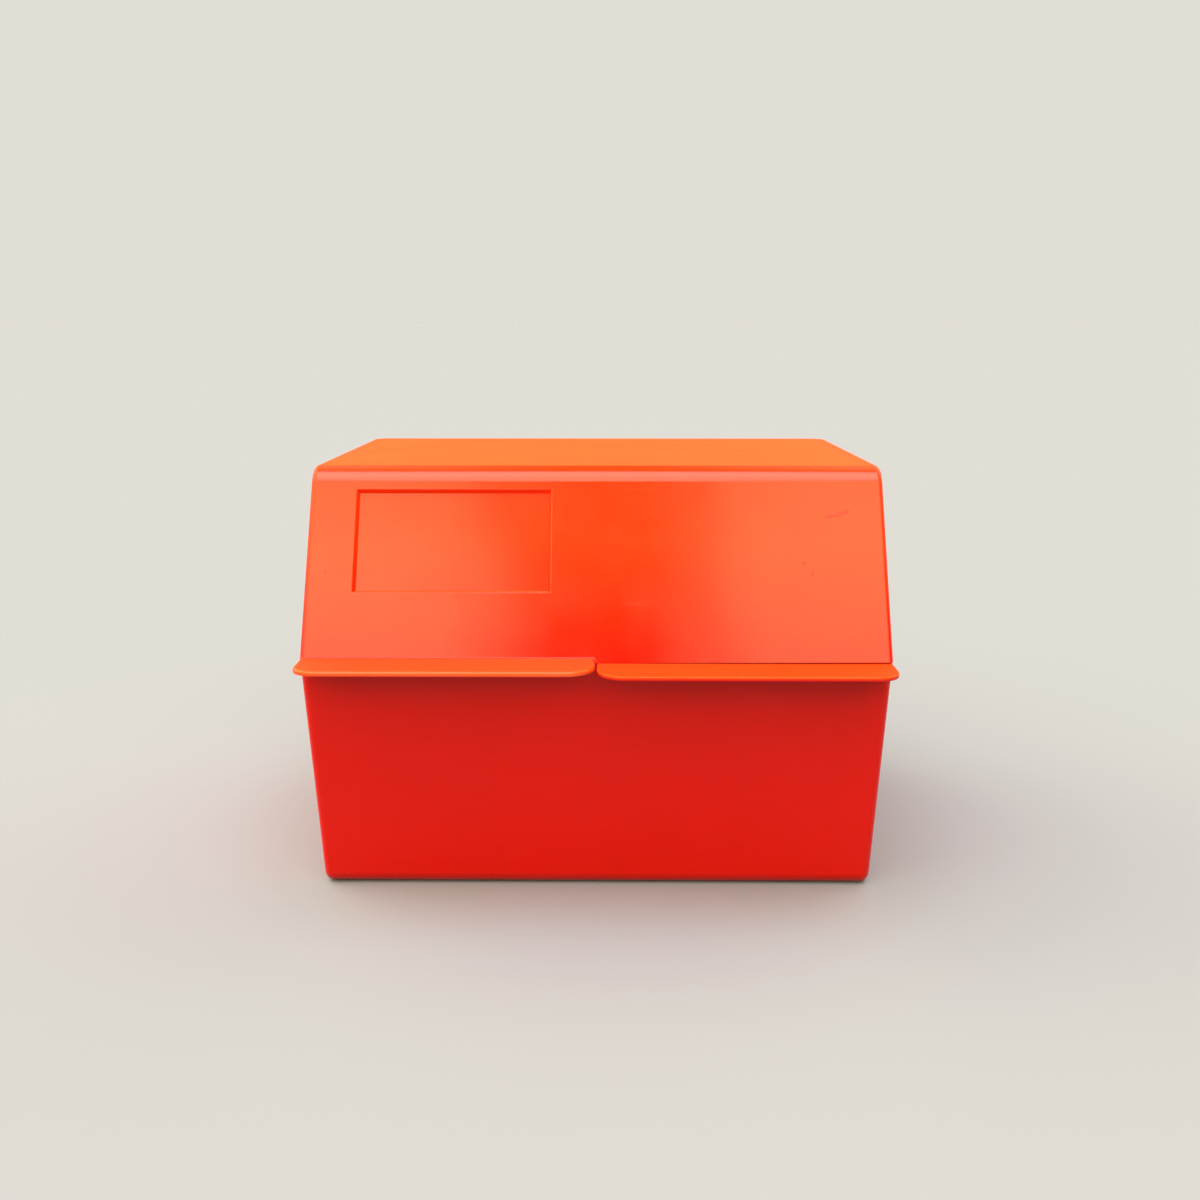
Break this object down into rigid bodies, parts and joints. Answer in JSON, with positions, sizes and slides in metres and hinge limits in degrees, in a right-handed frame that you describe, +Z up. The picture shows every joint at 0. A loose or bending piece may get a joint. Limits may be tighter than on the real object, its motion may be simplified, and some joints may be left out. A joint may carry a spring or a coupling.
{
  "type": "index card file box",
  "caption": "Hinged plastic file box for postcard-size index cards, with a deep base, a sloping lid with a label recess, finger tabs on the front and a sliding support plate.",
  "frame": {"origin": "on the surface the box stands on, under the middle of the box with its tabs and hinges", "axes": "+X to the right across the front, +Y from the front to the hinges, +Z up"},
  "size_m": [0.158, 0.1434, 0.1194],
  "materials": {
    "base_plastic": "orange-red polystyrene, moulded gloss",
    "lid_plastic": "orange-red polystyrene, moulded gloss",
    "pin_steel": "drawn steel wire",
    "plate_steel": "zinc-plated sheet steel"
  },
  "bodies": {
    "base": {"base_tray": "base_plastic", "hinge_pin_left": "pin_steel", "hinge_pin_right": "pin_steel"},
    "lid": {"lid": "lid_plastic"},
    "support_plate": {"support_plate": "plate_steel"}
  },
  "joints": [
    {"name": "lid_hinge", "type": "hinge", "parent": "base", "child": "lid", "pos_m": [0, 0.0687, 0.07], "axis": [-1, 0, 0], "range_deg": [0, 105]},
    {"name": "support_plate_slide", "type": "slide", "parent": "base", "child": "support_plate", "axis": [0, -1, 0], "range_m": [0, 0.05]}
  ]
}
